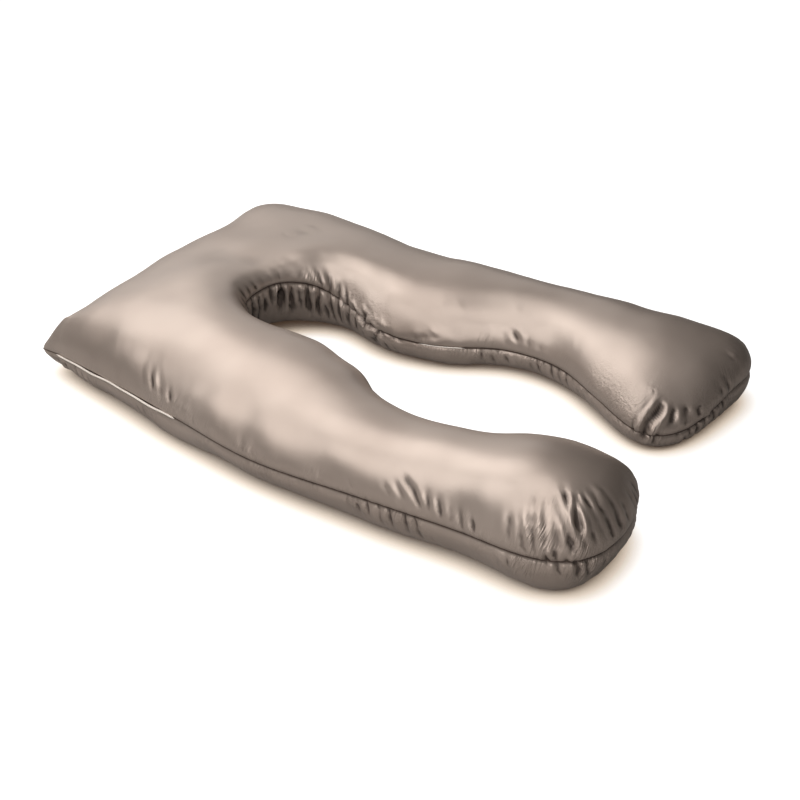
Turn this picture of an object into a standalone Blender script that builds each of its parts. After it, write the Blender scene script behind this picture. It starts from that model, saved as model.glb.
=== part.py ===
"""U-shaped body pillow: two panels of satin sewn together round their edge and stuffed, lying on a flat surface.

Frame: +Z up, +Y towards the closed head end, -X the side with the cover's opening. The origin is on the
surface, under the middle of the pillow. Sizes are in metres.

The seam line is a closed curve through the points of SEAM. The fill lifts the upper panel off that line as
pressure lifts a skin: most where the pillow is wide, little in its corners. The lower panel rolls under the
seam and lies flat on the surface.
"""

import bmesh
import bpy
import numpy as np
from mathutils import Vector
from mathutils.geometry import delaunay_2d_cdt

# The seam line, from the head corner on the opening's side and back to it. The rows run along the head end,
# down the far arm, round its foot, up its inner side, round the crook, and down and up the near arm. x and y
# are the place in plan and z is the height of the seam. roll is how far in from the seam the lower panel meets
# the surface, and corner marks where the seam turns sharply.
SEAM_COLUMNS = ("x", "y", "z", "roll", "corner")
SEAM = (
    # head end
    (-0.420, 0.724, 0.060, 0.085, True),
    (-0.250, 0.708, 0.064, 0.045, False),
    (0.000, 0.728, 0.068, 0.040, False),
    (0.160, 0.720, 0.062, 0.040, False),
    (0.320, 0.737, 0.068, 0.040, False),
    (0.438, 0.728, 0.055, 0.085, True),
    # far arm, outer side
    (0.450, 0.560, 0.072, 0.035, False),
    (0.436, 0.300, 0.078, 0.030, False),
    (0.456, 0.000, 0.080, 0.030, False),
    (0.468, -0.300, 0.080, 0.030, False),
    (0.486, -0.540, 0.084, 0.030, False),
    # far foot
    (0.494, -0.646, 0.092, 0.028, False),
    (0.430, -0.698, 0.088, 0.026, False),
    (0.340, -0.694, 0.078, 0.026, False),
    (0.255, -0.686, 0.060, 0.024, False),
    (0.180, -0.664, 0.046, 0.022, False),
    (0.130, -0.625, 0.044, 0.022, False),
    # far arm, inner side
    (0.116, -0.565, 0.050, 0.030, False),
    (0.172, -0.440, 0.058, 0.032, False),
    (0.228, -0.310, 0.062, 0.030, False),
    (0.220, -0.170, 0.064, 0.024, False),
    (0.142, -0.040, 0.066, 0.028, False),
    (0.108, 0.100, 0.070, 0.028, False),
    (0.132, 0.250, 0.100, 0.022, False),
    # crook
    (0.094, 0.314, 0.142, 0.046, False),
    (0.030, 0.364, 0.160, 0.072, False),
    (-0.042, 0.380, 0.158, 0.080, False),
    (-0.102, 0.370, 0.150, 0.072, False),
    (-0.136, 0.325, 0.136, 0.050, False),
    # near arm, inner side
    (-0.156, 0.240, 0.117, 0.038, False),
    (-0.135, 0.110, 0.100, 0.036, False),
    (-0.156, -0.020, 0.092, 0.034, False),
    (-0.226, -0.150, 0.088, 0.034, False),
    (-0.238, -0.310, 0.086, 0.034, False),
    (-0.190, -0.440, 0.086, 0.034, False),
    (-0.138, -0.560, 0.088, 0.034, False),
    # near foot
    (-0.128, -0.680, 0.092, 0.030, False),
    (-0.178, -0.738, 0.095, 0.026, False),
    (-0.300, -0.774, 0.098, 0.024, False),
    (-0.405, -0.752, 0.096, 0.022, False),
    (-0.460, -0.660, 0.094, 0.022, False),
    # near arm, outer side
    (-0.470, -0.500, 0.092, 0.026, False),
    (-0.488, -0.280, 0.086, 0.030, False),
    (-0.500, 0.000, 0.070, 0.030, False),
    (-0.482, 0.240, 0.077, 0.032, False),
    (-0.450, 0.500, 0.073, 0.036, False),
)

# The share of its crown that each part of the pillow is filled to, in sections across it: y is the section's
# place, and the other columns are the near arm, the middle and the far arm.
FILL_COLUMNS = ("y", "near", "middle", "far")
FILLING = (
    (0.70, 1.17, 1.03, 1.20),
    (0.58, 1.04, 0.92, 1.00),
    (0.50, 1.03, 0.72, 0.95),
    (0.42, 1.02, 0.46, 0.93),
    (0.32, 1.00, 0.56, 0.90),
    (0.24, 0.98, 0.84, 0.82),
    (0.12, 1.00, 1.00, 0.80),
    (0.00, 1.00, 1.00, 0.93),
    (-0.30, 1.00, 1.00, 1.04),
    (-0.45, 1.10, 1.00, 1.04),
    (-0.60, 1.37, 1.00, 1.12),
    (-0.75, 1.48, 1.00, 1.20),
)

CROWN_SLOPE = 0.90  # how steeply the crown rises with the width
CROWN_LIMIT = 0.185  # the height over the seam that no width exceeds
ARM_CENTRE = 0.30  # how far to each side of the middle the arms' filling is given

SEAM_STEP = 0.0165  # spacing of points along the seam
RING_DEPTHS = (0.004, 0.013, 0.028)  # rings of points just inside the seam
BODY_STEP = 0.031  # spacing of the points further in
FILL_CELL = 0.010  # grid on which the fill is relaxed
FILL_ROUNDS = 2600

LIP_RADIUS = 0.0024
LIP_GAP = 0.0004  # clear of the pillow
# The folded edge that stands out of the seam as a thin roll: where it runs, as (x, y) of its two ends.
LIPS = {
    "opening_lip": ((-0.432, 0.655), (-0.484, 0.225)),
    "inner_lip": ((0.110, 0.040), (0.165, -0.075)),
}


def clear_scene():
    for obj in list(bpy.data.objects):
        bpy.data.objects.remove(obj)


def material(name, color, roughness, metallic):
    made = bpy.data.materials.new(name)
    made.use_nodes = True
    shader = made.node_tree.nodes["Principled BSDF"]
    shader.inputs["Base Color"].default_value = (*color, 1.0)
    shader.inputs["Roughness"].default_value = roughness
    shader.inputs["Metallic"].default_value = metallic
    return made


def spline(knots, step):
    """Rows every step along a smooth open curve through the knots, the last one left out."""
    knots = np.array(knots, float)
    ends = 2 * knots[0] - knots[1], 2 * knots[-1] - knots[-2]
    padded = np.vstack([ends[0], knots, ends[1]])
    dense = []
    for before, start, end, after in zip(padded, padded[1:], padded[2:], padded[3:]):
        for t in np.linspace(0, 1, 24, endpoint=False):
            dense.append(
                0.5
                * (
                    2 * start
                    + (end - before) * t
                    + (2 * before - 5 * start + 4 * end - after) * t**2
                    + (3 * start - before - 3 * end + after) * t**3
                )
            )
    dense.append(knots[-1])
    dense = np.array(dense)
    along = np.append(0, np.cumsum(np.linalg.norm(np.diff(dense[:, :2], axis=0), axis=1)))
    count = max(2, round(along[-1] / step))
    at = np.linspace(0, along[-1], count, endpoint=False)
    return np.stack([np.interp(at, along, column) for column in dense.T], axis=1)


def seam_line(step):
    """The closed seam, smooth between the marked corners, as rows of x, y, z and roll."""
    rows = [dict(zip(SEAM_COLUMNS, row)) for row in SEAM]
    corners = [i for i, row in enumerate(rows) if row["corner"]]
    runs = []
    for start, end in zip(corners, corners[1:] + [corners[0] + len(rows)]):
        knots = [rows[i % len(rows)] for i in range(start, end + 1)]
        runs.append(spline([(k["x"], k["y"], k["z"], k["roll"]) for k in knots], step))
    return np.concatenate(runs)


def inside(points, outline):
    """Whether each plan point lies inside the closed outline, by counting the edges that it crosses."""
    found = np.zeros(len(points), bool)
    x, y = points[:, 0], points[:, 1]
    for a, b in zip(outline, np.roll(outline, -1, axis=0)):
        spans = (a[1] > y) != (b[1] > y)
        if spans.any():
            crossing = a[0] + (y[spans] - a[1]) / (b[1] - a[1]) * (b[0] - a[0])
            found[spans] ^= x[spans] < crossing
    return found


def nearest(points, line):
    """For each plan point, the distance to the line's nearest point and that point's index."""
    apart = np.linalg.norm(points[:, None, :2] - line[None, :, :2], axis=2)
    index = apart.argmin(axis=1)
    return apart[np.arange(len(points)), index], index


class Fill:
    """The height to which the fill lifts a skin held down along the seam, on a grid over the plan."""

    def __init__(self, outline):
        self.low = outline[:, :2].min(axis=0) - 3 * FILL_CELL
        size = outline[:, :2].max(axis=0) + 3 * FILL_CELL - self.low
        shape = np.ceil(size / FILL_CELL).astype(int) + 1
        grid = np.stack(np.meshgrid(*(np.arange(n) for n in shape), indexing="ij"), axis=-1)
        places = self.low + grid * FILL_CELL
        within = inside(places.reshape(-1, 2), outline).reshape(shape)
        lift = np.zeros(shape)
        for _ in range(FILL_ROUNDS):
            around = (
                np.roll(lift, 1, 0) + np.roll(lift, -1, 0) + np.roll(lift, 1, 1) + np.roll(lift, -1, 1)
            )
            lift = np.where(within, around / 4 + FILL_CELL**2 / 2, 0)
        self.lift = lift

    def at(self, points):
        """The half-width that the pillow seems to have at each plan point."""
        place = (points[:, :2] - self.low) / FILL_CELL
        cell = np.floor(place).astype(int)
        share = place - cell
        value = np.zeros(len(points))
        for dx in (0, 1):
            for dy in (0, 1):
                weight = np.abs(1 - dx - share[:, 0]) * np.abs(1 - dy - share[:, 1])
                value += weight * self.lift[cell[:, 0] + dx, cell[:, 1] + dy]
        return np.sqrt(np.maximum(value, 0))


def carried_in(points, seam):
    """The seam's height and roll carried inwards, as the mean of the seam nearby."""
    apart = np.linalg.norm(points[:, None, :2] - seam[None, :, :2], axis=2)
    weight = 1 / (apart + 0.006) ** 3
    return (weight @ seam[:, 2:4]).T / weight.sum(axis=1)


def filling(points):
    """The share of the crown at each plan point, from the sections of FILLING."""
    sections = np.array(FILLING)[::-1]
    near, middle, far = (np.interp(points[:, 1], sections[:, 0], column) for column in sections.T[1:])
    across = np.clip(points[:, 0] / ARM_CENTRE, -1, 1)
    return middle + np.where(across < 0, near - middle, far - middle) * np.abs(across)


def upper_heights(points, seam, fill):
    crown = CROWN_LIMIT * np.tanh(CROWN_SLOPE * fill.at(points) / CROWN_LIMIT)
    return carried_in(points, seam)[0] + crown * filling(points)


def lower_heights(points, seam):
    """The lower panel: a quarter turn from the seam down to the surface."""
    height, roll = carried_in(points, seam)
    in_from_seam, _ = nearest(points, seam)
    short = np.clip(1 - in_from_seam / roll, 0, 1)
    return height * (1 - np.sqrt(1 - short**2))


def plan_points(seam):
    """The seam's points, rings just inside them, and an even field of points further in."""
    outline = seam[:, :2]
    ahead = np.roll(outline, -1, axis=0) - np.roll(outline, 1, axis=0)
    ahead /= np.linalg.norm(ahead, axis=1)[:, None]
    inward = np.stack([ahead[:, 1], -ahead[:, 0]], axis=1)
    kept = [outline]
    for depth in RING_DEPTHS:
        ring = outline + inward * depth
        apart, _ = nearest(ring, seam)
        kept.append(ring[(apart > depth * 0.93) & inside(ring, outline)])
    low, high = outline.min(axis=0), outline.max(axis=0)
    row_step = BODY_STEP * np.sqrt(3) / 2
    field = []
    for row, y in enumerate(np.arange(low[1], high[1], row_step)):
        for x in np.arange(low[0] + (row % 2) * BODY_STEP / 2, high[0], BODY_STEP):
            field.append((x, y))
    field = np.array(field)
    apart, _ = nearest(field, seam)
    kept.append(field[inside(field, outline) & (apart > RING_DEPTHS[-1] + BODY_STEP * 0.45)])
    return np.concatenate(kept)


def build_pillow(seam, fill, finish):
    """One closed, filled solid: the upper and the lower panel over the same triangles, joined at the seam."""
    points = plan_points(seam)
    rim = len(seam)
    loop = [(i, (i + 1) % rim) for i in range(rim)]
    flat, _, faces, _, _, _ = delaunay_2d_cdt([Vector(p) for p in points], loop, [], 0, 1e-6)
    flat = np.array([tuple(p) for p in flat])
    middles = np.array([flat[list(face)].mean(axis=0) for face in faces])
    kept = [face for face, ok in zip(faces, inside(middles, seam[:, :2])) if ok]
    on_seam, place = nearest(flat, seam)
    is_rim = on_seam < 1e-5
    upper = np.where(is_rim, seam[place, 2], upper_heights(flat, seam, fill))
    lower = np.where(is_rim, seam[place, 2], lower_heights(flat, seam))
    work = bmesh.new()
    top = [work.verts.new((*p, z)) for p, z in zip(flat, upper)]
    bottom = [v if r else work.verts.new((*p, z)) for v, r, p, z in zip(top, is_rim, flat, lower)]
    for face in kept:
        work.faces.new([top[i] for i in face])
        work.faces.new([bottom[i] for i in reversed(face)])
    loose = [v for v in work.verts if not v.link_faces]
    bmesh.ops.delete(work, geom=loose, context="VERTS")
    bmesh.ops.recalc_face_normals(work, faces=work.faces)
    mesh = bpy.data.meshes.new("pillow")
    work.to_mesh(mesh)
    work.free()
    mesh.shade_smooth()
    mesh.materials.append(finish)
    obj = bpy.data.objects.new("pillow", mesh)
    bpy.context.scene.collection.objects.link(obj)
    return obj


def build_lip(name, ends, seam, finish):
    """A thin roll that follows the seam between two places, just outside it."""
    _, (first, last) = nearest(np.array(ends), seam)
    low, high = min(first, last), max(first, last)
    outline = seam[:, :2]
    ahead = np.roll(outline, -1, axis=0) - np.roll(outline, 1, axis=0)
    ahead /= np.linalg.norm(ahead, axis=1)[:, None]
    outward = np.stack([-ahead[:, 1], ahead[:, 0], np.zeros(len(seam))], axis=1)
    route = (seam[:, :3] + outward * (LIP_RADIUS + LIP_GAP))[low : high + 1]
    curve = bpy.data.curves.new(name, "CURVE")
    curve.dimensions = "3D"
    curve.bevel_depth = LIP_RADIUS
    curve.bevel_resolution = 2
    curve.use_fill_caps = True
    line = curve.splines.new("POLY")
    line.points.add(len(route) - 1)
    for point, place in zip(line.points, route):
        point.co = (*place, 1.0)
    curve.materials.append(finish)
    obj = bpy.data.objects.new(name, curve)
    bpy.context.scene.collection.objects.link(obj)
    return obj


def centre_on_plan(objects):
    """Moves the pieces together, so that the origin is under the middle of them all."""
    bpy.context.view_layer.update()
    corners = np.array([obj.matrix_world @ Vector(c) for obj in objects for c in obj.bound_box])
    middle = (corners.min(axis=0) + corners.max(axis=0)) / 2
    for obj in objects:
        obj.location.x -= middle[0]
        obj.location.y -= middle[1]


def main():
    clear_scene()
    satin = material("satin", (0.42, 0.35, 0.30), 0.38, 0.0)
    lip_satin = material("lip_satin", (0.62, 0.54, 0.47), 0.34, 0.0)
    seam = seam_line(SEAM_STEP)
    fill = Fill(seam[:, :2])
    pieces = [build_pillow(seam, fill, satin)]
    for name, ends in LIPS.items():
        pieces.append(build_lip(name, ends, seam, lip_satin))
    centre_on_plan(pieces)


main()
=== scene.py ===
"""The looks of the U-shaped body pillow: its satin cover, seam, gathers and folds, on a pale floor."""

import math

import bmesh
import bpy
import numpy as np
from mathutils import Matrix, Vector
from mathutils.bvhtree import BVHTree
from mathutils.geometry import delaunay_2d_cdt
from mathutils.kdtree import KDTree


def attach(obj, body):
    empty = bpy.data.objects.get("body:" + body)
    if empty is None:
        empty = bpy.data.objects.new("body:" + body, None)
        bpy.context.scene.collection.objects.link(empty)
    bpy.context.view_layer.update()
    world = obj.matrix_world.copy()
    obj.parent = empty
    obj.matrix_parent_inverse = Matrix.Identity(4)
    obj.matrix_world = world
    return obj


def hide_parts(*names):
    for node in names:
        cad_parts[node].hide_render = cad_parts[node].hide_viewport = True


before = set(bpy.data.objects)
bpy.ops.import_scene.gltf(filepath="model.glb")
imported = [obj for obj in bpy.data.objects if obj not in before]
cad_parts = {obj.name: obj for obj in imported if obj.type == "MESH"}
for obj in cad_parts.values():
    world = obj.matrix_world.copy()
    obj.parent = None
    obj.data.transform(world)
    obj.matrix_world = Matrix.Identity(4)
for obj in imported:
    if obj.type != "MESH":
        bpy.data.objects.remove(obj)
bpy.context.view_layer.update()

# ------------------------------------------------ sizes, in metres unless they say otherwise

# The fine mesh follows the seam in columns, with rows running in from it over each panel.
COLUMN_STEP = 0.0045
UPPER_INSET, UPPER_ROWS = 0.060, 28
LOWER_INSET, LOWER_ROWS = 0.040, 15
UPPER_FIELD, LOWER_FIELD = 0.0062, 0.020  # spacing of the points further in
ROW_SPREAD = 1.25  # 1 would space the rows evenly, and more puts them closer together by the seam
PROBES = 48  # heights measured along each column before its rows are spaced evenly
WELD = 1e-5
SEAM_BLUR = 0.018  # how far the seam's own bends are rounded off
CORNER_BLUR = 0.012
HEADING_COLUMNS = 6  # columns on either side that the seam's heading is taken from
CORNER_ANGLE = 55  # degrees: the seam turns more than this only at a head corner
CORNER_KEPT, CORNER_WIDENED = 4, 20  # how wide the stretches are that keep a corner, and that swing round it
CORNER_SEEN = 0.2
TURN_WINDOW = 0.095  # over how long a stretch the rows swing round a corner
PROBE_SPREAD = 2  # more than 1 puts the probes closer together by the seam
FIELD_CLEARANCE = 0.7  # of a step, between the field's points and the last row
FACET_ROUNDING = 2  # subdivisions of the solid
BASE_SMOOTHING = 26  # rounds of averaging that take the solid's facets out
BASE_SHARE = 0.6  # how far a point goes towards its neighbours' average in one round

# ------------------------------------------------ arrays along the closed seam


def blurred(rows, reach):
    """Rows round the closed seam, each averaged with those within about the reach on either side."""
    count = len(rows)
    apart = np.minimum(np.arange(count), count - np.arange(count)) * COLUMN_STEP
    kernel = np.exp(-((apart / reach) ** 2))
    kernel /= kernel.sum()
    spectrum = np.fft.fft(kernel)
    columns = rows.reshape(count, -1).T
    mixed = [np.fft.ifft(np.fft.fft(column) * spectrum).real for column in columns]
    return np.array(mixed).T.reshape(rows.shape)


def seam_points(node):
    """The seam of the solid: the closed line where its upward and downward faces meet."""
    work = bmesh.new()
    work.from_mesh(node.data)
    bmesh.ops.remove_doubles(work, verts=work.verts, dist=WELD)
    work.normal_update()
    beside = {}
    for edge in work.edges:
        first, second = (face.normal.z > 0 for face in edge.link_faces)
        if first != second:
            a, b = edge.verts
            beside.setdefault(a, []).append(b)
            beside.setdefault(b, []).append(a)
    start = min(beside, key=lambda vert: vert.co.x - vert.co.y)
    line, before, here = [start.co.copy()], None, start
    while True:
        ahead = [vert for vert in beside[here] if vert != before]
        step = max(ahead, key=lambda vert: vert.co.x) if before is None else ahead[0]
        if step == start:
            break
        line.append(step.co.copy())
        before, here = here, step
    work.free()
    return np.array(line)


def seam_columns(node):
    """The seam as evenly spaced columns, smooth but for the head corners, and each column's way inwards."""
    line = seam_points(node)
    closed = np.vstack([line, line[:1]])
    along = np.append(0, np.cumsum(np.linalg.norm(np.diff(closed, axis=0), axis=1)))
    count = round(along[-1] / COLUMN_STEP)
    at = np.linspace(0, along[-1], count, endpoint=False)
    even = np.stack([np.interp(at, along, axis) for axis in closed.T], axis=1)
    smooth = blurred(even, SEAM_BLUR)
    ahead = np.roll(smooth, -HEADING_COLUMNS, axis=0) - np.roll(smooth, HEADING_COLUMNS, axis=0)
    heading = np.unwrap(np.arctan2(ahead[:, 1], ahead[:, 0]))
    turning = np.abs(np.roll(heading, -HEADING_COLUMNS) - np.roll(heading, HEADING_COLUMNS))
    turning = np.minimum(turning, abs(2 * math.pi - turning))
    corner = blurred((turning > math.radians(CORNER_ANGLE)).astype(float), CORNER_BLUR)
    keep = np.clip(corner * CORNER_KEPT, 0, 1)[:, None]
    seam = smooth + (even - smooth) * keep
    ahead = np.roll(seam, -1, axis=0)[:, :2] - np.roll(seam, 1, axis=0)[:, :2]
    ahead /= np.linalg.norm(ahead, axis=1)[:, None]
    inward = np.stack([ahead[:, 1], -ahead[:, 0]], axis=1)
    near_corner = blurred((corner > CORNER_SEEN).astype(float), TURN_WINDOW)
    near_corner = np.clip(near_corner * CORNER_WIDENED, 0, 1)[:, None]
    swung = blurred(inward, TURN_WINDOW) * near_corner + blurred(inward, CORNER_BLUR) * (1 - near_corner)
    swung /= np.linalg.norm(swung, axis=1)[:, None]
    return seam, swung


# ------------------------------------------------ the fine mesh


class Skin:
    """The cover's mesh as arrays: points and faces, and where each point is with respect to the seam.

    along is the distance round the seam of the point's column. reach is the distance from the seam over the
    cloth, counted positive over the upper panel and negative over the lower one.
    """

    def __init__(self, node):
        self.seam, self.inward = seam_columns(node)
        self.count = len(self.seam)
        self.points = [self.seam]
        self.faces = []
        self.along = [np.arange(self.count) * COLUMN_STEP]
        self.reach = [np.zeros(self.count)]
        self.total = self.count
        solid = self.smooth_solid(node)
        self.add_panel(solid, 1, UPPER_INSET, UPPER_ROWS, UPPER_FIELD)
        self.add_panel(solid, -1, LOWER_INSET, LOWER_ROWS, LOWER_FIELD)
        self.points = np.concatenate(self.points)
        self.along = np.concatenate(self.along)
        self.reach = np.concatenate(self.reach)
        self.drop_unused()
        quads = [face for face in self.faces if len(face) == 4]
        self.tris = np.array(
            [face for face in self.faces if len(face) == 3]
            + [(a, b, c) for a, b, c, d in quads]
            + [(a, c, d) for a, b, c, d in quads]
        )
        ends = np.concatenate([self.tris[:, [0, 1]], self.tris[:, [1, 2]], self.tris[:, [2, 0]]])
        self.edges = np.unique(np.sort(ends, axis=1), axis=0)
        self.beside = np.bincount(self.edges.ravel(), minlength=len(self.points))

    def smooth_solid(self, node):
        """The solid's faces rounded off between its points, its seam kept sharp, to measure heights on."""
        work = bmesh.new()
        work.from_mesh(node.data)
        bmesh.ops.remove_doubles(work, verts=work.verts, dist=WELD)
        work.normal_update()
        crease = work.edges.layers.float.new("crease_edge")
        for edge in work.edges:
            first, second = (face.normal.z > 0 for face in edge.link_faces)
            if first != second:
                edge[crease] = 1.0
        mesh = bpy.data.meshes.new("smooth_solid")
        work.to_mesh(mesh)
        work.free()
        helper = bpy.data.objects.new("smooth_solid", mesh)
        bpy.context.scene.collection.objects.link(helper)
        rounding = helper.modifiers.new("rounding", "SUBSURF")
        rounding.levels = FACET_ROUNDING
        tree = BVHTree.FromObject(helper, bpy.context.evaluated_depsgraph_get())
        bpy.data.objects.remove(helper)
        return tree

    def add_panel(self, solid, side, inset, rows, step):
        """Adds one panel: side is 1 for the upper and -1 for the lower."""
        height = self.height_finder(solid, side)
        probes = [self.seam]
        for probe in range(1, PROBES + 1):
            plan = self.seam[:, :2] + self.inward * inset * (probe / PROBES) ** PROBE_SPREAD
            probes.append(np.column_stack([plan, height(plan, probes[-1][:, 2])]))
        probes = np.array(probes)
        over = np.cumsum(np.linalg.norm(np.diff(probes, axis=0), axis=2), axis=0)
        over = np.vstack([np.zeros(self.count), over])
        before = np.arange(self.count)
        for row in range(1, rows + 1):
            reach = over[-1] * (row / rows) ** ROW_SPREAD
            points = np.empty((self.count, 3))
            for column in range(self.count):
                run = over[:, column]
                points[column] = [np.interp(reach[column], run, line) for line in probes[:, column].T]
            ids = self.total + np.arange(self.count)
            self.take(points, self.along[0], side * reach)
            self.join_rows(before, ids, side)
            before = ids
        outline = points[:, :2]
        plan, triangles = filled(outline, self.field_inside(outline, step))
        inner = plan[self.count :]
        tree = tree_of(outline)
        columns = np.array([tree.find((*p, 0))[1] for p in inner])
        further = np.linalg.norm(inner - outline[columns], axis=1)
        start = self.total
        found = np.column_stack([inner, height(inner, points[columns, 2])])
        self.take(found, self.along[0][columns], side * (over[-1][columns] + further))
        ids = np.concatenate([before, start + np.arange(len(inner))])
        for a, b, c in triangles:
            face = (ids[a], ids[b], ids[c])
            self.faces.append(face if side > 0 else face[::-1])

    def height_finder(self, solid, side):
        way = Vector((0, 0, -side))

        def height(plan, fallback):
            found = []
            for index, (x, y) in enumerate(plan):
                hit = solid.ray_cast(Vector((x, y, side)), way)[0]
                found.append(fallback[index] if hit is None else hit.z)
            return np.array(found)

        return height

    def take(self, points, along, reach):
        self.points.append(points)
        self.along.append(along)
        self.reach.append(reach)
        self.total += len(points)

    def join_rows(self, before, after, side):
        for i in range(self.count):
            j = (i + 1) % self.count
            face = (before[i], after[i], after[j], before[j])
            self.faces.append(face if side > 0 else face[::-1])

    def field_inside(self, outline, step):
        """An even triangular field of plan points inside the outline, clear of it by most of a step."""
        tree = tree_of(outline)
        low, high = outline.min(axis=0), outline.max(axis=0)
        kept = []
        for row, y in enumerate(np.arange(low[1], high[1], step * math.sqrt(3) / 2)):
            for x in np.arange(low[0] + (row % 2) * step / 2, high[0], step):
                place, column, apart = tree.find((x, y, 0))
                depth = (x - place.x) * self.inward[column, 0] + (y - place.y) * self.inward[column, 1]
                if depth > 0 and apart > FIELD_CLEARANCE * step:
                    kept.append((x, y))
        return np.array(kept)

    def drop_unused(self):
        used = np.zeros(len(self.points), bool)
        for face in self.faces:
            used[list(face)] = True
        new_id = np.cumsum(used) - 1
        self.faces = [tuple(int(new_id[i]) for i in face) for face in self.faces]
        self.points, self.along, self.reach = self.points[used], self.along[used], self.reach[used]

    def summed(self, values):
        """Each point's sum of the values at its neighbours."""
        flat = values.reshape(len(values), -1)
        a, b = self.edges.T
        total = np.empty_like(flat)
        for column in range(flat.shape[1]):
            total[:, column] = np.bincount(a, flat[b, column], len(flat))
            total[:, column] += np.bincount(b, flat[a, column], len(flat))
        return total.reshape(values.shape)

    def averaged(self, values):
        share = self.beside if values.ndim == 1 else self.beside[:, None]
        return self.summed(values) / share

    def unevenness(self, chance, rounds):
        """A random value at each point, the broader the more rounds it is averaged over."""
        values = chance.normal(size=len(self.points))
        for _ in range(rounds):
            values = self.averaged(values)
        return values / values.std()

    def normals(self, points=None):
        points = self.points if points is None else points
        a, b, c = (points[self.tris[:, k]] for k in range(3))
        facing = np.cross(b - a, c - a)
        total = np.zeros_like(points)
        for k in range(3):
            for axis in range(3):
                total[:, axis] += np.bincount(self.tris[:, k], facing[:, axis], len(total))
        return total / np.linalg.norm(total, axis=1)[:, None]

    def smooth(self, rounds):
        """Takes the solid's facets out, with the seam's points held."""
        rim = self.reach == 0
        for _ in range(rounds):
            moved = self.averaged(self.points)
            moved[rim] = self.points[rim]
            self.points += BASE_SHARE * (moved - self.points)

    def to_object(self, name):
        mesh = bpy.data.meshes.new(name)
        mesh.from_pydata(self.points.tolist(), [], self.faces)
        mesh.shade_smooth()
        made = bpy.data.objects.new(name, mesh)
        bpy.context.scene.collection.objects.link(made)
        return made


def tree_of(places):
    """A tree that finds the nearest of these places, which are plan places where they have no height."""
    tree = KDTree(len(places))
    for index, place in enumerate(places):
        tree.insert((*place, 0)[:3], index)
    tree.balance()
    return tree


def filled(outline, field):
    """The outline's and the field's points, and triangles between them that fill the outline."""
    points = np.concatenate([outline, field])
    loop = [(i, (i + 1) % len(outline)) for i in range(len(outline))]
    _, _, faces, sources, _, _ = delaunay_2d_cdt([Vector(p) for p in points], loop, [], 1, 1e-7)
    triangles = [tuple(sources[i][0] for i in face) for face in faces]
    return points, triangles


# ------------------------------------------------ folds and gathers


def smoothstep(t):
    return t * t * (3 - 2 * t)


def bell(t):
    return np.exp(-(t**2))


class Creases:
    """Depths pressed into the cover and ridges raised on it, added up before the points move."""

    MARGIN = 4  # widths of a fold beyond which it presses nothing
    TROUGH_SHARPNESS = 1.4
    RIDGE_PLACE, RIDGE_SHARPNESS = 1.3, 1.6  # the ridge's place, in widths from the trough's middle

    def __init__(self, skin):
        self.skin = skin
        self.lift = np.zeros(len(skin.points))
        self.normals = skin.normals()
        self.tree = tree_of(skin.points)
        self.flat_tree = tree_of(np.column_stack([skin.along, skin.reach]))

    def fold(self, width, depth, places, ridge=0.3, taper=(0.25, 0.25)):
        """A fold along a line of places: a trough of the width and depth between two low ridges.

        A negative depth is a raised fold. taper says how much of its length it takes to start and to end.
        """
        line = np.array([self.skin.points[self.tree.find(place)[1]] for place in places])
        runs = np.linalg.norm(np.diff(line, axis=0), axis=1)
        starts = np.append(0, np.cumsum(runs))
        margin = self.MARGIN * width
        points = self.skin.points
        inside = (points > line.min(axis=0) - margin) & (points < line.max(axis=0) + margin)
        ids = np.flatnonzero(inside.all(axis=1))
        points = points[ids]
        apart = np.full(len(ids), np.inf)
        travelled = np.zeros(len(ids))
        for k, run in enumerate(runs):
            way = (line[k + 1] - line[k]) / run
            t = np.clip((points - line[k]) @ way, 0, run)
            here = np.linalg.norm(points - line[k] - t[:, None] * way, axis=1)
            nearer = here < apart
            apart[nearer] = here[nearer]
            travelled[nearer] = (starts[k] + t[nearer]) / starts[-1]
        begun = smoothstep(np.clip(travelled / taper[0], 0, 1)) if taper[0] else 1
        ended = smoothstep(np.clip((1 - travelled) / taper[1], 0, 1)) if taper[1] else 1
        across = apart / width
        profile = -bell(across * self.TROUGH_SHARPNESS)
        profile += ridge * bell((across - self.RIDGE_PLACE) * self.RIDGE_SHARPNESS)
        self.lift[ids] += depth * begun * ended * profile

    def gathers(self, chance, start, end, count, low, high, width, depth):
        """Thin folds across the seam's way, strewn between two distances along it and two reaches from it."""
        at = np.arange(count) + chance.uniform(-GATHER_JITTER, GATHER_JITTER, count)
        for along in start + at * (end - start) / count:
            first, last = chance.uniform(*GATHER_ENDS)
            reach = low + (high - low) * np.linspace(first, last, GATHER_POINTS)
            lean = chance.uniform(-GATHER_LEAN, GATHER_LEAN) * (reach - reach[0])
            lean = lean + chance.normal(size=GATHER_POINTS) * GATHER_WOBBLE
            places = [self.at_seam(along + shift, out) for shift, out in zip(lean, reach)]
            own_width = width * chance.uniform(*GATHER_WIDTHS)
            own_depth = depth * chance.uniform(*GATHER_DEPTHS)
            self.fold(own_width, own_depth, places, taper=GATHER_TAPER)

    def at_seam(self, along, reach):
        """The place on the cover at this distance along the seam and this reach from it."""
        return self.skin.points[self.flat_tree.find((along, reach, 0))[1]]

    def press(self):
        self.skin.points += self.normals * self.lift[:, None]


def along_profile(skin, table, column, patchiness, chance):
    """A value for each seam column: the table's stretches run smoothly together, and vary in patches."""
    at = np.arange(skin.count) * COLUMN_STEP
    steps = np.zeros(skin.count)
    for row in table:
        steps[(at >= row[0]) & (at < row[1])] = row[column]
    patches = blurred(chance.normal(size=skin.count), PATCH_LENGTH)
    patches = np.clip(1 + patchiness * patches / patches.std(), *PATCH_LIMITS)
    return blurred(steps, STRETCH_BLUR) * patches


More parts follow.
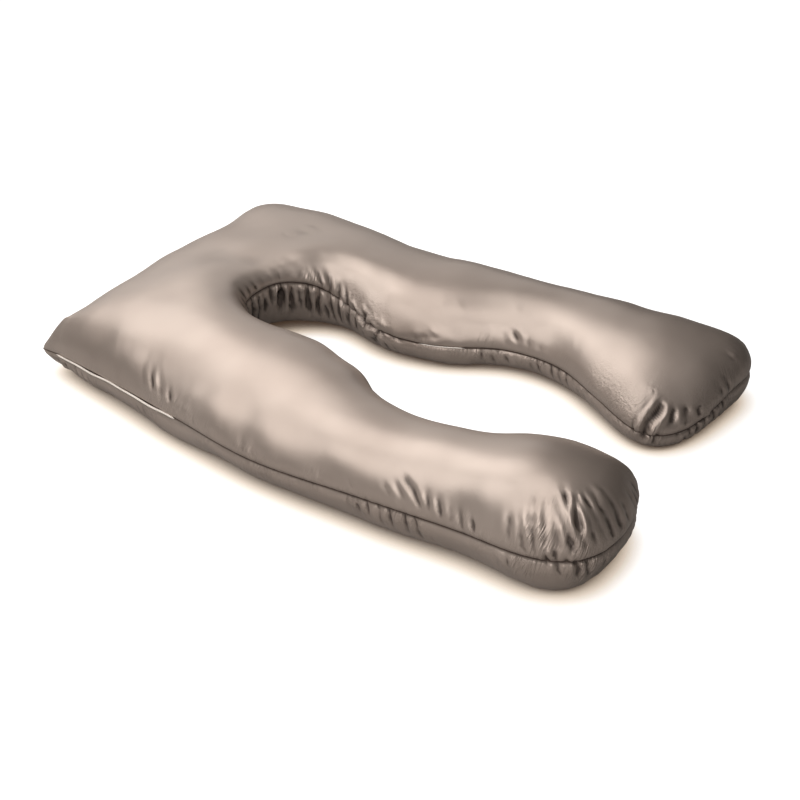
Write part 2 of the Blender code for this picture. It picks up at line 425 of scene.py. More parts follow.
def settle(skin, base, slack, plump, rounds):
    """Lets the cover settle where its cloth is longer than the filling it lies on, so that it buckles.

    slack holds how much longer the cloth is along the seam and across it. plump pushes outwards.
    Each round pulls every edge towards its own length, resists sharp bends, and keeps near the base shape.
    """
    a, b = skin.edges.T
    size = len(skin.points)
    push = skin.normals(base) * plump[:, None]
    heading = np.roll(skin.seam, -SEAM_WAY_COLUMNS, axis=0) - np.roll(skin.seam, SEAM_WAY_COLUMNS, axis=0)
    heading = blurred(heading, CORNER_BLUR)
    heading /= np.linalg.norm(heading, axis=1)[:, None]
    along = heading[np.round(skin.along / COLUMN_STEP).astype(int) % skin.count]
    way = along[a] + along[b]
    way /= np.maximum(np.linalg.norm(way, axis=1), 1e-6)[:, None]
    flat = base[b] - base[a]
    length = np.linalg.norm(flat, axis=1)
    turn = (np.einsum("ij,ij->i", flat, way) / length) ** 2
    lengthwise, crosswise = ((kind[a] + kind[b]) / 2 for kind in slack)
    pressed = np.linalg.norm(skin.points[b] - skin.points[a], axis=1)
    wanted = np.maximum(length, pressed) * (1 + lengthwise * turn + crosswise * (1 - turn))
    rim = (skin.reach == 0)[:, None]
    share = skin.beside[:, None]
    now = skin.points
    before = now.copy()
    for _ in range(rounds):
        gap = now[b] - now[a]
        reached = np.sqrt((gap * gap).sum(axis=1))
        pull = gap * ((reached - wanted) / reached)[:, None]
        step = np.empty_like(now)
        for axis in range(3):
            step[:, axis] = np.bincount(a, pull[:, axis], size) - np.bincount(b, pull[:, axis], size)
        moved = now - base
        bend = skin.averaged(moved) - moved
        step = step / share - STIFFNESS * (skin.averaged(bend) - bend)
        step += push - np.where(rim, SEAM_HOLD, PANEL_HOLD) * moved
        ahead = now + MOMENTUM * (now - before) + step
        moved = ahead - base
        far = np.linalg.norm(moved, axis=1)
        ahead = base + moved * np.minimum(1, MOST_MOVED / np.maximum(far, 1e-9))[:, None]
        ahead[:, 2] = np.maximum(ahead[:, 2], 0)
        before, now = now, ahead
    skin.points = now


skin = Skin(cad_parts["pillow"])
skin.smooth(BASE_SMOOTHING)
base = skin.points.copy()
creases = Creases(skin)

# The seam lies in a groove between the two panels.
GROOVE_DEPTH, GROOVE_WIDTH, GROOVE_SHARPNESS = 0.0036, 0.0038, 1.5
groove = GROOVE_DEPTH * np.exp(-((np.abs(skin.reach) / GROOVE_WIDTH) ** GROOVE_SHARPNESS))
base -= creases.normals * groove[:, None]

# The filling is a little lumpy, so that the satin's sheen breaks up into broad soft patches.
LUMPS, LUMP_ROUNDS, LUMP_FADE = 0.0022, 140, 0.05
chance = np.random.default_rng(7)
lumps = skin.unevenness(chance, LUMP_ROUNDS) * LUMPS
lumps = lumps * smoothstep(np.clip(np.abs(skin.reach) / LUMP_FADE, 0, 1))
base += creases.normals * lumps[:, None]

# Each head corner is drawn out to a small point, as a bag's corner is where its seams meet.
POINT_LENGTH, POINT_WIDTH = 0.012, 0.026
HEAD_CORNERS = (
    # distance along the seam, way out
    (0.00, (-0.60, 0.78, 0.12)),
    (0.86, (0.70, 0.70, 0.10)),
)
for corner_along, way_out in HEAD_CORNERS:
    tip = base[round(corner_along / COLUMN_STEP)]
    drawn = bell(np.linalg.norm(base - tip, axis=1) / POINT_WIDTH) * POINT_LENGTH
    base = base + drawn[:, None] * np.array(way_out)
base[:, 2] = np.maximum(base[:, 2], 0)
skin.points = base.copy()

# The single folds. A negative depth is a raised one.
FOLDS = (
    # width, depth, the places it runs through, and where they differ its ridge and its taper
    # near foot, from the top of its end down to the seam
    (0.0056, 0.0058, (
        (-0.352, -0.640, 0.23), (-0.38, -0.672, 0.20), (-0.420, -0.708, 0.14),
        (-0.423, -0.715, 0.105),
    )),
    (0.0050, 0.0050, (
        (-0.352, -0.662, 0.22), (-0.388, -0.70, 0.18), (-0.40, -0.714, 0.16),
        (-0.403, -0.734, 0.10),
    )),
    (0.0050, 0.0042, (
        (-0.312, -0.660, 0.23), (-0.36, -0.705, 0.19), (-0.386, -0.735, 0.15),
        (-0.39, -0.742, 0.114),
    )),
    (0.0050, -0.0036, (
        (-0.298, -0.664, 0.23), (-0.325, -0.71, 0.20), (-0.340, -0.732, 0.184),
        (-0.346, -0.757, 0.11),
    )),
    (0.0055, -0.0030, ((-0.300, -0.684, 0.22), (-0.326, -0.735, 0.17))),
    (0.0065, 0.0080, ((-0.419, -0.726, 0.108), (-0.416, -0.722, 0.09), (-0.409, -0.723, 0.05))),
    (0.0055, 0.0045, ((-0.444, -0.688, 0.126), (-0.439, -0.691, 0.097))),
    (0.0060, 0.0040, ((-0.450, -0.681, 0.116), (-0.453, -0.678, 0.077))),
    (0.0060, 0.0040, ((-0.450, -0.599, 0.175), (-0.467, -0.587, 0.129))),
    (0.0060, 0.0040, ((-0.407, -0.627, 0.210), (-0.444, -0.641, 0.162))),
    (0.0050, 0.0030, ((-0.464, -0.520, 0.136), (-0.470, -0.524, 0.109))),
    # near outer side
    (0.0070, 0.0055, ((-0.450, -0.330, 0.165), (-0.462, -0.370, 0.145), (-0.471, -0.415, 0.115))),
    (0.0060, 0.0045, ((-0.472, -0.290, 0.145), (-0.481, -0.362, 0.112))),
    (0.0060, 0.0040, ((-0.459, -0.429, 0.152), (-0.474, -0.453, 0.111))),
    (0.0055, 0.0030, ((-0.479, -0.214, 0.136), (-0.490, -0.251, 0.103))),
    (0.0065, 0.0040, ((-0.426, 0.385, 0.168), (-0.468, 0.342, 0.132), (-0.474, 0.32, 0.12))),
    (0.0060, 0.0040, ((-0.444, 0.342, 0.156), (-0.478, 0.293, 0.119))),
    (0.0065, 0.0045, ((-0.455, 0.325, 0.150), (-0.482, 0.255, 0.112))),
    # crook, below its seam
    (0.0085, 0.0085, ((0.107, 0.325, 0.137), (0.110, 0.335, 0.060))),
    (0.0085, 0.0085, ((0.042, 0.380, 0.158), (0.014, 0.398, 0.093))),
    (0.0070, 0.0060, ((-0.030, 0.396, 0.155), (-0.033, 0.404, 0.101))),
    (0.0070, 0.0060, ((0.000, 0.394, 0.155), (-0.011, 0.400, 0.091))),
    (0.0065, 0.0060, ((0.064, 0.362, 0.147), (0.083, 0.367, 0.074))),
    (0.0065, 0.0050, ((0.084, 0.348, 0.145), (0.092, 0.350, 0.067))),
    # crook, running out over the top from its seam
    (0.0058, 0.0030, ((-0.109, 0.456, 0.227), (-0.112, 0.391, 0.196)), 0.3, (0.6, 0.3)),
    (0.0058, 0.0034, ((-0.102, 0.441, 0.223), (-0.069, 0.394, 0.173)), 0.3, (0.6, 0.2)),
    (0.0055, 0.0034, ((-0.067, 0.418, 0.205), (-0.038, 0.395, 0.167)), 0.3, (0.6, 0.2)),
    (0.0052, 0.0032, ((0.044, 0.434, 0.207), (0.022, 0.384, 0.174))),
    (0.0052, 0.0034, ((0.079, 0.448, 0.212), (0.056, 0.381, 0.193))),
    (0.0052, 0.0030, ((0.098, 0.462, 0.213), (0.075, 0.371, 0.187))),
    (0.0050, 0.0018, ((-0.302, 0.325, 0.223), (-0.253, 0.250, 0.221))),
    (0.0090, -0.0050, ((0.191, 0.513, 0.211), (0.166, 0.437, 0.211)), 0, (0.5, 0.5)),
    (0.0090, -0.0056, ((0.253, 0.523, 0.208), (0.213, 0.400, 0.209)), 0, (0.5, 0.5)),
    # where the far arm leaves the crook
    (0.0065, 0.0080, ((0.127, 0.283, 0.122), (0.130, 0.262, 0.085))),
    (0.0060, 0.0085, (
        (0.130, 0.252, 0.113), (0.124, 0.224, 0.093), (0.115, 0.192, 0.072), (0.108, 0.144, 0.084),
    )),
    (0.0065, -0.0055, (
        (0.129, 0.255, 0.087), (0.130, 0.240, 0.056), (0.124, 0.204, 0.041), (0.104, 0.145, 0.053),
    )),
    (0.0060, 0.0070, (
        (0.118, 0.178, 0.100), (0.112, 0.160, 0.074), (0.109, 0.120, 0.062), (0.118, 0.063, 0.063),
    )),
    (0.0060, -0.0045, ((0.132, 0.215, 0.115), (0.120, 0.150, 0.100), (0.116, 0.110, 0.090))),
    (0.0110, 0.0060, ((0.117, 0.060, 0.078), (0.130, 0.012, 0.094), (0.147, -0.026, 0.092))),
    # far arm
    (0.0060, 0.0025, ((0.290, -0.035, 0.179), (0.259, -0.069, 0.167))),
    (0.0060, 0.0025, ((0.275, -0.138, 0.160), (0.263, -0.162, 0.148))),
    (0.0060, 0.0020, ((0.281, -0.243, 0.152), (0.268, -0.257, 0.143))),
    (0.0065, 0.0030, ((0.255, -0.301, 0.143), (0.220, -0.335, 0.115))),
    (0.0080, 0.0030, ((0.177, 0.034, 0.155), (0.204, -0.062, 0.140))),
    (0.0090, 0.0045, ((0.204, -0.084, 0.126), (0.230, -0.174, 0.106), (0.229, -0.291, 0.092))),
    # far foot
    (0.0115, 0.0130, (
        (0.176, -0.603, 0.114), (0.143, -0.597, 0.098), (0.119, -0.587, 0.082),
        (0.114, -0.581, 0.051), (0.120, -0.571, 0.024),
    ), 0.25, (0.2, 0.15)),
    (0.0065, 0.0045, ((0.184, -0.627, 0.104), (0.164, -0.628, 0.088), (0.140, -0.630, 0.073))),
    (0.0060, 0.0045, ((0.207, -0.640, 0.110), (0.198, -0.641, 0.099), (0.163, -0.635, 0.068)), 0.25),
    (0.0065, 0.0050, ((0.235, -0.656, 0.097), (0.215, -0.660, 0.070))),
    (0.0060, 0.0020, ((0.160, -0.560, 0.127), (0.127, -0.550, 0.093))),
    (0.0065, -0.0045, ((0.262, -0.672, 0.080), (0.221, -0.660, 0.037))),
    (0.0070, -0.0045, ((0.416, -0.634, 0.166), (0.380, -0.657, 0.150), (0.387, -0.684, 0.073))),
    # the pinched head corner, under its seam
    (0.0100, 0.0080, ((-0.425, 0.735, 0.045), (-0.434, 0.66, 0.040))),
)
# Small gathers that cross the seam: how many there are between two distances along it.
GATHER_JITTER = 0.35  # of the spacing between them
GATHER_ENDS = (0, 0.55), (0.15, 1.0)  # least and most of the reach at which one starts, and at which it stops
GATHER_POINTS = 5
GATHER_LEAN = 0.2
GATHER_WOBBLE = 0.0015
GATHER_WIDTHS, GATHER_DEPTHS = (0.85, 1.2), (0.4, 1.2)
GATHER_TAPER = (0.1, 0.5)
GATHERS = (
    # start, end, count, nearest and furthest reach, width, depth
    (0.06, 0.82, 16, 0.002, 0.050, 0.0050, 0.0020),  # head end
    (0.06, 0.82, 16, -0.002, -0.045, 0.0050, 0.0018),
    (0.90, 2.10, 22, 0.002, 0.045, 0.0050, 0.0018),  # far outer side
    (0.90, 2.10, 22, -0.002, -0.040, 0.0050, 0.0018),
    (2.12, 2.46, 9, 0.003, 0.100, 0.0048, 0.0022),  # far foot
    (2.46, 2.66, 5, 0.004, 0.060, 0.0045, 0.0022),
    (2.15, 2.68, 14, -0.002, -0.035, 0.0050, 0.0028),
    (2.72, 3.40, 12, -0.002, -0.035, 0.0050, 0.0018),  # far inner side
    (3.64, 4.02, 24, -0.003, -0.115, 0.0055, 0.0060),  # crook
    (3.66, 3.98, 7, 0.003, 0.080, 0.0055, 0.0018),
    (4.08, 4.88, 14, 0.002, 0.050, 0.0050, 0.0020),  # near inner side
    (4.92, 5.14, 7, 0.003, 0.100, 0.0050, 0.0024),  # near foot
    (5.10, 5.46, 12, 0.002, 0.150, 0.0042, 0.0022),
    (4.95, 5.50, 22, -0.002, -0.060, 0.0046, 0.0024),
    (5.46, 6.05, 26, 0.001, 0.026, 0.0044, 0.0020),  # near outer side
    (5.46, 5.80, 7, 0.010, 0.090, 0.0055, 0.0016),
    (5.46, 6.05, 24, -0.001, -0.036, 0.0044, 0.0018),
    (6.10, 6.80, 12, -0.002, -0.040, 0.0050, 0.0010),
)
for fold in FOLDS:
    creases.fold(*fold)
for gather in GATHERS:
    creases.gathers(chance, *gather)
creases.press()

# How much longer the cloth is than the filling: stretches along the seam, with the slack there and how far
# it spreads over each panel.
SLACK = (
    # start, end, upper slack, upper spread, lower slack, lower spread
    (0.00, 0.86, 0.030, 0.035, 0.050, 0.050),  # head end
    (0.86, 2.10, 0.035, 0.035, 0.050, 0.050),  # far outer side
    (2.10, 2.45, 0.050, 0.050, 0.080, 0.060),  # far foot, outer corner
    (2.45, 2.72, 0.055, 0.060, 0.110, 0.055),  # far foot, inner corner
    (2.72, 3.40, 0.022, 0.030, 0.060, 0.045),  # far inner side
    (3.40, 3.66, 0.070, 0.035, 0.120, 0.070),  # where the far arm leaves the crook
    (3.66, 4.05, 0.032, 0.028, 0.150, 0.095),  # crook
    (4.05, 4.90, 0.035, 0.035, 0.060, 0.050),  # near inner side
    (4.90, 5.22, 0.050, 0.050, 0.070, 0.050),  # near foot, inner corner
    (5.22, 5.44, 0.058, 0.080, 0.100, 0.060),  # near foot, outer corner
    (5.44, 5.80, 0.050, 0.045, 0.080, 0.060),  # near outer side by the foot
    (5.80, 6.28, 0.036, 0.035, 0.060, 0.055),  # near outer side
    (6.28, 6.50, 0.040, 0.045, 0.060, 0.050),  # the folds by the head
    (6.50, 6.85, 0.040, 0.040, 0.060, 0.045),  # near head corner
)
STRETCH_BLUR = 0.04  # how far one stretch runs into the next
PATCH_LENGTH, PATCH_LIMITS = 0.05, (0.15, 2.2)
SLACK_PATCHINESS, SPREAD_PATCHINESS = 0.45, 0.30
EVEN_SLACK = 0.004  # all over
CROSS_SLACK, SEAM_CROSS_SLACK, CROSS_SPREAD = 0.002, 0.03, 0.03
SEAM_WAY_COLUMNS = 3
STIFFNESS = 0.05
MOMENTUM = 0.93
PANEL_HOLD, SEAM_HOLD = 0.002, 0.25
MOST_MOVED = 0.016
ROUNDS = 130
PLUMP, PLUMP_SPREAD = 1.5e-5, 0.04
UNEVENNESS, UNEVEN_ROUNDS = 0.0008, 4
column = np.round(skin.along / COLUMN_STEP).astype(int) % skin.count
upper_slack, upper_spread, lower_slack, lower_spread = (
    along_profile(skin, SLACK, kind, patchiness, chance)[column]
    for kind, patchiness in (
        (2, SLACK_PATCHINESS),
        (3, SPREAD_PATCHINESS),
        (4, SLACK_PATCHINESS),
        (5, SPREAD_PATCHINESS),
    )
)
slack = np.where(skin.reach > 0, upper_slack, lower_slack)
spread = np.where(skin.reach > 0, upper_spread, lower_spread)
nearness = bell(skin.reach / spread)
fine = skin.unevenness(chance, UNEVEN_ROUNDS)
skin.points += creases.normals * (fine * UNEVENNESS)[:, None]
cross_slack = CROSS_SLACK + SEAM_CROSS_SLACK * bell(skin.reach / CROSS_SPREAD)
plump = PLUMP * bell(skin.reach / PLUMP_SPREAD)
settle(skin, base, (slack * nearness + EVEN_SLACK, cross_slack), plump, ROUNDS)
# Close to the seam the threads hold every gather, which the settling would otherwise smooth away.
HELD_SHARE, HELD_REACH, HELD_DEPTH = 0.45, 0.030, 0.006
THREAD_REACH = 0.004  # the seam's own line doesn't move
held = bell(skin.reach / HELD_REACH) * smoothstep(np.clip(np.abs(skin.reach) / THREAD_REACH, 0, 1))
held_lift = np.clip(creases.lift, -HELD_DEPTH, HELD_DEPTH) * held * HELD_SHARE
skin.points += creases.normals * held_lift[:, None]
skin.points[:, 2] = np.maximum(skin.points[:, 2], 0)

# ------------------------------------------------ shader expressions


class Value:
    """A number in a node tree. Python's operators on it add Math nodes."""

    def __init__(self, finish, socket):
        self.finish = finish
        self.socket = socket

    def math(self, operation, *others):
        sockets = {index: other for index, other in enumerate((self, *others))}
        return self.finish.node("ShaderNodeMath", {"operation": operation}, sockets)

    def __add__(self, other):
        return self.math("ADD", other)

    def __sub__(self, other):
        return self.math("SUBTRACT", other)

    def __rsub__(self, other):
        return self.finish.number(other).math("SUBTRACT", self)

    def __mul__(self, other):
        return self.math("MULTIPLY", other)

    __radd__ = __add__
    __rmul__ = __mul__

    def __pow__(self, other):
        return self.math("POWER", other)

    def __abs__(self):
        return self.math("ABSOLUTE")

    def ramp(self, low, high):
        """0 up to low, 1 from high on, and smooth between them. low may be the greater of the two."""
        settings = {"interpolation_type": "SMOOTHSTEP"}
        return self.finish.node("ShaderNodeMapRange", settings, {0: self, 1: low, 2: high})


class Finish:
    """A material and the means to write its nodes."""

    def __init__(self, name):
        self.material = bpy.data.materials.new(name)
        self.material.use_nodes = True
        self.tree = self.material.node_tree
        self.shader = self.tree.nodes["Principled BSDF"]

    def node(self, kind, settings, sockets, output=0):
        made = self.tree.nodes.new(kind)
        for name, value in settings.items():
            setattr(made, name, value)
        for key, value in sockets.items():
            self.feed(made.inputs[key], value)
        return Value(self, made.outputs[output])

    def feed(self, socket, value):
        if isinstance(value, Value):
            self.tree.links.new(value.socket, socket)
        else:
            socket.default_value = value

    def number(self, value):
        return self.node("ShaderNodeMath", {"operation": "ADD"}, {0: value, 1: 0})

    def attribute(self, name):
        return self.node("ShaderNodeAttribute", {"attribute_name": name}, {}, "Fac")

    def vector(self, x, y, z):
        return self.node("ShaderNodeCombineXYZ", {}, {0: x, 1: y, 2: z})

    def noise(self, place, scale, detail=2.0, roughness=0.5):
        sockets = {"Vector": place, "Scale": scale, "Detail": detail, "Roughness": roughness}
        return self.node("ShaderNodeTexNoise", {}, sockets, "Fac")

    def mixed(self, factor, first, second):
        settings = {"data_type": "RGBA"}
        return self.node("ShaderNodeMix", settings, {0: factor, 6: first, 7: second}, 2)

    def bump(self, height):
        """The height is in metres."""
        return self.node("ShaderNodeBump", {}, {"Strength": 1.0, "Distance": 1.0, "Height": height})

    def set(self, **sockets):
        for name, value in sockets.items():
            self.feed(self.shader.inputs[name.replace("_", " ")], value)


TAUPE_DEEP, TAUPE_PALE = (0.400, 0.325, 0.282, 1), (0.450, 0.372, 0.326, 1)
# Painted shade: dark browns mixed into the satin's colour where less light gets in, in hollows and pressed
# folds and along the seam's groove.
HOLLOW_PAINTED_SHADE, SEAM_GROOVE_PAINTED_SHADE = (0.030, 0.020, 0.016, 1), (0.10, 0.07, 0.055, 1)
# Painted highlight: the lip is the same satin, given paler colours where its fold catches the light.
LIP_HIGHLIGHT_DEEP, LIP_HIGHLIGHT_PALE = (0.86, 0.77, 0.69, 1), (0.95, 0.88, 0.82, 1)
# Heights of the satin's bumps: fine creases, crushed places, slow unevenness and the threads.
CREASE_BUMP, CRUSHED_BUMP, SLOW_BUMP, THREAD_BUMP = 0.0042, 0.0045, 0.0035, 0.00002
# Reaches from the seam over which a thin dark line of painted shade runs along its groove.
SEAM_LINE_OUT, SEAM_LINE_IN = 0.0020, 0.0006


def satin_finish():
    """Silky taupe satin: broad soft gloss, fine creases across the seam, and a faint run of the threads, with
    shade painted into its colour in hollows, folds and along the seam.
    """
    finish = Finish("taupe_satin")
    place = finish.node("ShaderNodeTexCoord", {}, {}, "Object")
    along, reach = finish.attribute("along"), finish.attribute("reach")
    gather = finish.attribute("gather")
    crumple = finish.attribute("crumple")
    leaning = along + reach * 0.25 + finish.noise(place, 9.0) * 0.02
    lines = finish.noise(finish.vector(leaning * 105, reach * 9, 0), 1.0, 3.0, 0.55)
    lines = 1 - abs(lines * 2 - 1) ** 0.75
    fine = finish.noise(finish.vector(leaning * 260, reach * 22, 3), 1.0, 2.0)
    where = finish.noise(place, 14.0, 1.0).ramp(0.38, 0.62)
    creases = (lines * 0.75 + fine * 0.25) * gather * (where * 0.8 + 0.2)
    crushed = finish.noise(place, 75.0, 4.0, 0.62)
    crushed = (1 - abs(crushed * 2 - 1)) * crumple
    slow = finish.noise(place, 5.5, 2.0)
    threads = finish.noise(finish.vector(along * 2600, reach * 300, 0), 1.0, 1.0)
    height = creases * CREASE_BUMP + crushed * CRUSHED_BUMP + slow * SLOW_BUMP + threads * THREAD_BUMP
    shade = finish.noise(place, 3.2, 3.0)
    colour = finish.mixed(shade.ramp(0.35, 0.65), TAUPE_DEEP, TAUPE_PALE)
    # Painted shade: the colour is darkened towards brown in hollows and pressed folds, where less light gets
    # in.
    hollow = finish.attribute("hollow")
    colour = finish.mixed(hollow * 0.85, colour, HOLLOW_PAINTED_SHADE)
    # Painted shade: a thin dark line along the seam's groove.
    seam_groove_shade = abs(reach).ramp(SEAM_LINE_OUT, SEAM_LINE_IN)
    colour = finish.mixed(seam_groove_shade * 0.75, colour, SEAM_GROOVE_PAINTED_SHADE)
    finish.set(
        Base_Color=colour,
        Roughness=0.39 + finish.noise(place, 22.0, 2.0) * 0.06 + crumple * 0.05,
        Metallic=0.62,
        Coat_Weight=(1 - hollow) * 0.14,
        Coat_Roughness=0.24,
        Normal=finish.bump(height),
    )
    return finish.material


def lip_highlight_finish():
    """The turned edge of the opening: the same satin seen on its fold, paler as a painted highlight where the
    fold catches the light, and a little glossier.
    """
    finish = Finish("satin_edge_painted_highlight")
    place = finish.node("ShaderNodeTexCoord", {}, {}, "Object")
    height = finish.noise(place, 160.0, 2.0) * 0.0006
    shade = finish.noise(place, 26.0, 2.0)
    finish.set(
        Base_Color=finish.mixed(shade, LIP_HIGHLIGHT_DEEP, LIP_HIGHLIGHT_PALE),
        Roughness=0.45,
        Metallic=0.1,
        Coat_Weight=0.15,
        Coat_Roughness=0.2,
        Normal=finish.bump(height),
    )
    return finish.material


# ------------------------------------------------ pieces


def stored(mesh, name, values):
    layer = mesh.attributes.new(name, "FLOAT", "POINT")
    layer.data.foreach_set("value", np.asarray(values, np.float32))


# Scales for the shade painted into the satin's colour in hollows and pressed folds.
HOLLOW_ROUNDS, HOLLOW_DEPTH, HOLLOW_MOST = 3, 0.0011, 0.9
FOLD_DARK, FOLD_DARK_FROM, FOLD_DARK_MOST = 0.009, 0.35, 1.15


def hollows(skin, lift):
    """How far each point lies in a hollow, where less light gets in and the satin is painted darker."""
    soft = skin.points
    for _ in range(HOLLOW_ROUNDS):
        soft = skin.averaged(soft)
    sunk = np.einsum("ij,ij->i", soft - skin.points, skin.normals()) / HOLLOW_DEPTH
    pressed = np.clip(-lift / FOLD_DARK - FOLD_DARK_FROM, 0, FOLD_DARK_MOST)
    return np.maximum(np.clip(sunk, 0, HOLLOW_MOST), pressed)


# Where the cloth is crushed: centres, sizes and how much.
CRUSHED = (
    ((0.150, -0.520, 0.070), 0.060, 1.0),  # inner corner of the far foot
    ((0.190, -0.440, 0.080), 0.050, 0.6),
    ((0.125, 0.180, 0.070), 0.055, 0.9),  # where the far arm leaves the crook
    ((0.135, 0.240, 0.100), 0.040, 0.7),
    ((0.260, -0.660, 0.060), 0.060, 0.5),  # far foot, under its end
    ((-0.360, -0.745, 0.075), 0.070, 0.5),  # near foot, round its end
    ((-0.470, 0.330, 0.080), 0.050, 0.4),
)
crumple = np.zeros(len(skin.points))
for centre, size, amount in CRUSHED:
    crumple = np.maximum(crumple, amount * bell(np.linalg.norm(skin.points - centre, axis=1) / size))
FULL_GATHER, MOST_GATHER = 0.055, 1.4
cover = skin.to_object("satin_cover")
stored(cover.data, "along", skin.along)
stored(cover.data, "reach", skin.reach)
stored(cover.data, "gather", np.clip(slack * nearness / FULL_GATHER, 0, MOST_GATHER))
stored(cover.data, "crumple", crumple)
stored(cover.data, "hollow", hollows(skin, creases.lift))
cover.data.materials.append(satin_finish())
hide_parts("pillow")
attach(cover, "root")

LIP_SIDES = 10
LIP_BLUR = 0.016  # how far the lip rounds off the seam's own bends
LIP_OUT = 0.40  # share of its width by which its middle stands out of the seam
LIP_END, LIP_END_SIZE = 0.012, 0.2  # the length over which it narrows, and the share left at its tip
LONG_WAVE, SHORT_WAVE, WAVE_START, SHORT_SHARE = 31, 58, 1.3, 0.6
# The lip's satin, with a painted highlight in its paler colour.
highlit_lip_satin = lip_highlight_finish()


def lip(name, node, start, end, width, thickness, wave, tilt):
    """A turned edge of the cover that stands out of the seam between two distances along it."""
    columns = np.arange(round(start / COLUMN_STEP), round(end / COLUMN_STEP) + 1) % skin.count
    line = blurred(skin.points[: skin.count], LIP_BLUR)[columns]
    outward = np.column_stack([-skin.inward[columns], np.zeros(len(columns))])
    run = np.arange(len(columns)) * COLUMN_STEP
    part = run / run[-1]
    swing = wave * (np.sin(run * SHORT_WAVE) * SHORT_SHARE + np.sin(run * LONG_WAVE + WAVE_START))
    from_end = np.minimum(part, 1 - part) * run[-1]
    ease = smoothstep(np.clip(from_end / LIP_END, 0, 1)) * (1 - LIP_END_SIZE) + LIP_END_SIZE
    vertices, faces = [], []
    for i in range(len(columns)):
        out = outward[i] * math.cos(tilt) + np.array((0, 0, math.sin(tilt)))
        over = np.array((0, 0, math.cos(tilt))) - outward[i] * math.sin(tilt)
        middle = line[i] + outward[i] * (width * LIP_OUT + GROOVE_DEPTH / 2) + np.array((0, 0, swing[i]))
        for side in range(LIP_SIDES):
            angle = 2 * math.pi * side / LIP_SIDES
            across = out * math.cos(angle) * width / 2 * ease[i]
            vertices.append(tuple(middle + across + over * math.sin(angle) * thickness / 2 * ease[i]))
    for i in range(len(columns) - 1):
        for side in range(LIP_SIDES):
            ahead = (side + 1) % LIP_SIDES
            here, there = i * LIP_SIDES, (i + 1) * LIP_SIDES
            faces.append((here + side, there + side, there + ahead, here + ahead))
    faces.append(tuple(range(LIP_SIDES)))
    faces.append(tuple((len(columns) - 1) * LIP_SIDES + side for side in reversed(range(LIP_SIDES))))
    mesh = bpy.data.meshes.new(name)
    mesh.from_pydata(vertices, [], faces)
    mesh.shade_smooth()
    mesh.materials.append(highlit_lip_satin)
    made = bpy.data.objects.new(name, mesh)
    bpy.context.scene.collection.objects.link(made)
    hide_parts(node)
    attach(made, "root")


LIPS = (
    # piece, node, start and end along the seam, width, thickness, wave, tilt
    ("opening_edge", "opening_lip", 6.338, 6.778, 0.0095, 0.0052, 0.0014, 0.7),
    ("inner_edge", "inner_lip", 3.232, 3.345, 0.0060, 0.0030, 0.0004, 0.6),
)
for edge in LIPS:
    lip(*edge)

# ------------------------------------------------ studio

AZIMUTH, ELEVATION, DISTANCE = math.radians(-53.58), math.radians(31.86), 3.449
AIM = Vector((-0.0242, -0.0203, 0))
LENS, SENSOR = 66.32, 36  # millimetres
WHITE, BLACK = (1, 1, 1, 1), (0, 0, 0, 1)
FLOOR_HALF = 8
FLOOR_DROP = 0.0005
FLOOR_GREY, FLOOR_ROUGHNESS = (0.36, 0.35, 0.34, 1), 0.8
FLOOR_GLOW, SHADOW_REACH, SHADOW_SAMPLES = 0.98, 0.062, 12
CONTACT_SHADOW, SOFT_SHADOW = (0.05, 0.028, 0.016, 1), (0.62, 0.50, 0.38, 1)
SURROUND_LIGHT = 0.01
# Large soft panels stand round the head end and over the camera, so the sheen is broad and the feet are dark.
PANEL_SIZE, PANEL_DISTANCE, PANEL_COLOUR = 1.8, 3.0, (1, 0.985, 0.96)
PANELS = (
    # name, turn, rise, watts
    ("key", -110, 45, 28),
    ("rear", -50, 45, 22),
    ("rear_low", -35, 20, 8),
    ("behind_low", 0, 25, 7.5),
    ("overhead", -40, 68, 23),
    ("over_camera", 180, 70, 27),
    ("beside_camera", -165, 30, 35),
)


def studio_place(turn, rise, distance):
    """A place seen from the middle: turn is 0 straight away from the camera, and positive to its right."""
    heading = math.pi / 2 + AZIMUTH - math.radians(turn)
    rise = math.radians(rise)
    flat = distance * math.cos(rise)
    return Vector((flat * math.cos(heading), flat * math.sin(heading), distance * math.sin(rise)))


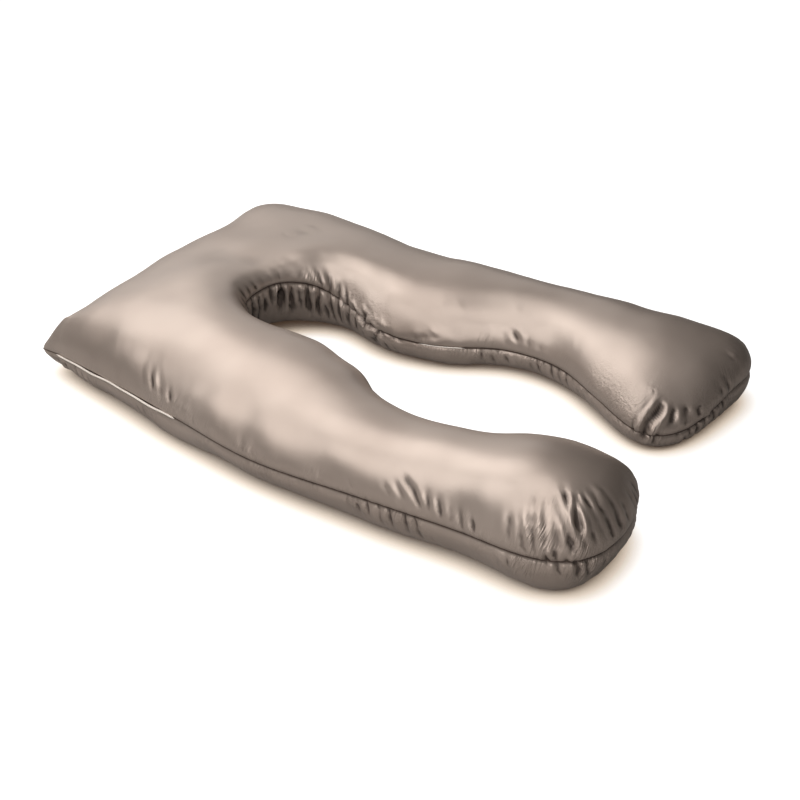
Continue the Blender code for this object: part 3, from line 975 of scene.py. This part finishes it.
def floor():
    """A plain pale floor that looks white, with a warm soft shadow where the pillow lies on it."""
    finish = Finish("pale_floor")
    seen = finish.node("ShaderNodeLightPath", {}, {}, "Is Camera Ray")
    settings = {"samples": SHADOW_SAMPLES}
    open_sky = finish.node("ShaderNodeAmbientOcclusion", settings, {"Distance": SHADOW_REACH}, "AO")
    shaded = finish.mixed(open_sky.ramp(0.10, 0.55), CONTACT_SHADOW, SOFT_SHADOW)
    shaded = finish.mixed(open_sky.ramp(0.35, 1.0), shaded, WHITE)
    finish.set(
        Base_Color=FLOOR_GREY,
        Roughness=FLOOR_ROUGHNESS,
        Emission_Color=finish.mixed(seen, BLACK, shaded),
        Emission_Strength=FLOOR_GLOW,
    )
    half, drop = FLOOR_HALF, -FLOOR_DROP
    corners = [(-half, -half, drop), (half, -half, drop), (half, half, drop), (-half, half, drop)]
    mesh = bpy.data.meshes.new("floor")
    mesh.from_pydata(corners, [], [(0, 1, 2, 3)])
    mesh.materials.append(finish.material)
    made = bpy.data.objects.new("floor", mesh)
    bpy.context.scene.collection.objects.link(made)


def panel(name, turn, rise, watts):
    """A square soft light that faces the middle of the pillow."""
    place = studio_place(turn, rise, PANEL_DISTANCE)
    light = bpy.data.lights.new(name, "AREA")
    light.shape = "RECTANGLE"
    light.size = PANEL_SIZE
    light.size_y = PANEL_SIZE
    light.energy = watts
    light.color = PANEL_COLOUR
    made = bpy.data.objects.new(name, light)
    made.location = place
    made.rotation_euler = (-place).to_track_quat("-Z", "Y").to_euler()
    bpy.context.scene.collection.objects.link(made)


def surround():
    """A plain pale surround to look at, that gives almost no light of its own."""
    world = bpy.data.worlds.new("surround")
    world.use_nodes = True
    tree = world.node_tree
    dim = tree.nodes["Background"]
    dim.inputs["Color"].default_value = WHITE
    dim.inputs["Strength"].default_value = SURROUND_LIGHT
    pale = tree.nodes.new("ShaderNodeBackground")
    pale.inputs["Color"].default_value = WHITE
    seen = tree.nodes.new("ShaderNodeLightPath")
    both = tree.nodes.new("ShaderNodeMixShader")
    tree.links.new(seen.outputs["Is Camera Ray"], both.inputs[0])
    tree.links.new(dim.outputs[0], both.inputs[1])
    tree.links.new(pale.outputs[0], both.inputs[2])
    tree.links.new(both.outputs[0], tree.nodes["World Output"].inputs["Surface"])
    return world


def camera():
    """The camera, which looks down at the foot ends from the side of the cover's opening."""
    back = studio_place(180, math.degrees(ELEVATION), 1)
    lens = bpy.data.cameras.new("camera")
    lens.lens = LENS
    lens.sensor_width = SENSOR
    made = bpy.data.objects.new("camera", lens)
    made.location = AIM + back * DISTANCE
    made.rotation_mode = "QUATERNION"
    made.rotation_quaternion = (-back).to_track_quat("-Z", "Y")
    bpy.context.scene.collection.objects.link(made)
    return made


floor()
for name, turn, rise, watts in PANELS:
    panel(name, turn, rise, watts)
bpy.context.scene.world = surround()
bpy.context.scene.camera = camera()
bpy.context.scene.view_settings.view_transform = "Standard"
